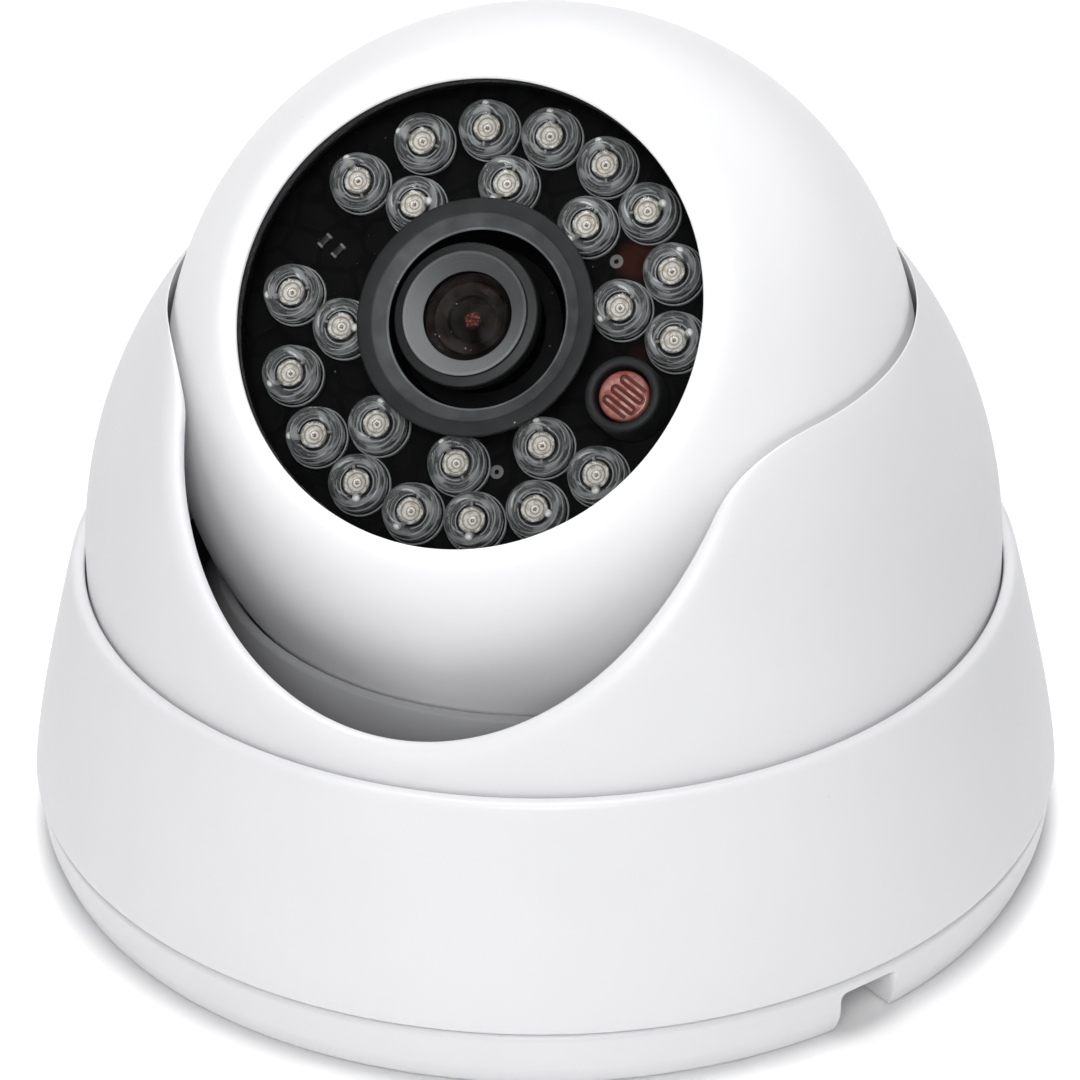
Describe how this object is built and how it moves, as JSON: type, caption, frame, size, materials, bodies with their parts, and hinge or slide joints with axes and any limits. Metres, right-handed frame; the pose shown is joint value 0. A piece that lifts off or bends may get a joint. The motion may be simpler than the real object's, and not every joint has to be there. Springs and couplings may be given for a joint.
{
  "type": "dome security camera",
  "caption": "Dome security camera: round base, skirt and a turning cover with a U-shaped opening around a tilting eyeball that holds a lens and a ring of infrared lamps.",
  "frame": {"origin": "centre of the base's bottom face, which is the face that goes against a ceiling or wall", "axes": "+Z away from the mounting face, -Y to the front, where the cover's opening and the lens face; the tilt axis is along X"},
  "size_m": [0.0932, 0.0932, 0.0776],
  "materials": {
    "white_shell": "satin injection-moulded ABS",
    "window_glass": "clear polycarbonate",
    "lens_glass": "coated optical glass",
    "led_epoxy": "water-clear epoxy",
    "led_board_mask": "black solder mask",
    "sensor_board_mask": "green solder mask",
    "light_sensor_cell": "clear-coated photocell track",
    "lens_barrel_metal": "dark anodised",
    "bearing_plastic": "moulded grey acetal",
    "holder_plastic": "moulded black",
    "sensor_chip": "glass-topped chip",
    "connector_plastic": "moulded nylon",
    "fastener_steel": "zinc-plated",
    "black_rubber": "soft matt"
  },
  "bodies": {
    "base": {"base_plate": "white_shell", "skirt_cover": "white_shell", "pan_friction_ring": "black_rubber", "cable_grommet": "black_rubber"},
    "swivel": {"swivel_cover": "white_shell", "ball_seat_ring": "bearing_plastic", "seat_screw_1": "fastener_steel", "seat_screw_2": "fastener_steel", "seat_screw_3": "fastener_steel", "tilt_washer_left": "black_rubber", "tilt_washer_right": "black_rubber"},
    "ball": {"ball_front_shell": "white_shell", "ball_rear_shell": "white_shell", "window": "window_glass", "window_gasket": "black_rubber", "led_board": "led_board_mask", "ir_led_01": "led_epoxy", "ir_led_02": "led_epoxy", "ir_led_03": "led_epoxy", "ir_led_04": "led_epoxy", "ir_led_05": "led_epoxy", "ir_led_06": "led_epoxy", "ir_led_07": "led_epoxy", "ir_led_08": "led_epoxy", "ir_led_09": "led_epoxy", "ir_led_10": "led_epoxy", "ir_led_11": "led_epoxy", "ir_led_12": "led_epoxy", "ir_led_13": "led_epoxy", "ir_led_14": "led_epoxy", "ir_led_15": "led_epoxy", "ir_led_16": "led_epoxy", "ir_led_17": "led_epoxy", "ir_led_18": "led_epoxy", "ir_led_19": "led_epoxy", "ir_led_20": "led_epoxy", "ir_led_21": "led_epoxy", "ir_led_22": "led_epoxy", "ir_led_23": "led_epoxy", "ir_led_24": "led_epoxy", "light_sensor": "light_sensor_cell", "light_sensor_sleeve": "black_rubber", "lens_hood": "black_rubber", "lens_barrel": "lens_barrel_metal", "lens_front_glass": "lens_glass", "lens_holder": "holder_plastic", "sensor_board": "sensor_board_mask", "image_sensor": "sensor_chip", "board_connector": "connector_plastic", "board_link_lead": "black_rubber", "standoff_1": "fastener_steel", "standoff_2": "fastener_steel", "standoff_3": "fastener_steel", "board_screw_1": "fastener_steel", "board_screw_2": "fastener_steel", "board_screw_3": "fastener_steel", "shell_screw_1": "fastener_steel", "shell_screw_2": "fastener_steel", "shell_screw_3": "fastener_steel"}
  },
  "joints": [
    {"name": "cover_pan", "type": "hinge", "parent": "base", "child": "swivel", "pos_m": [0, 0, 0.02], "axis": [0, 0, 1], "range_deg": [-175, 175]},
    {"name": "ball_tilt", "type": "hinge", "parent": "swivel", "child": "ball", "pos_m": [0, 0, 0.04415], "axis": [-1, 0, 0], "range_deg": [-25, 49]}
  ]
}
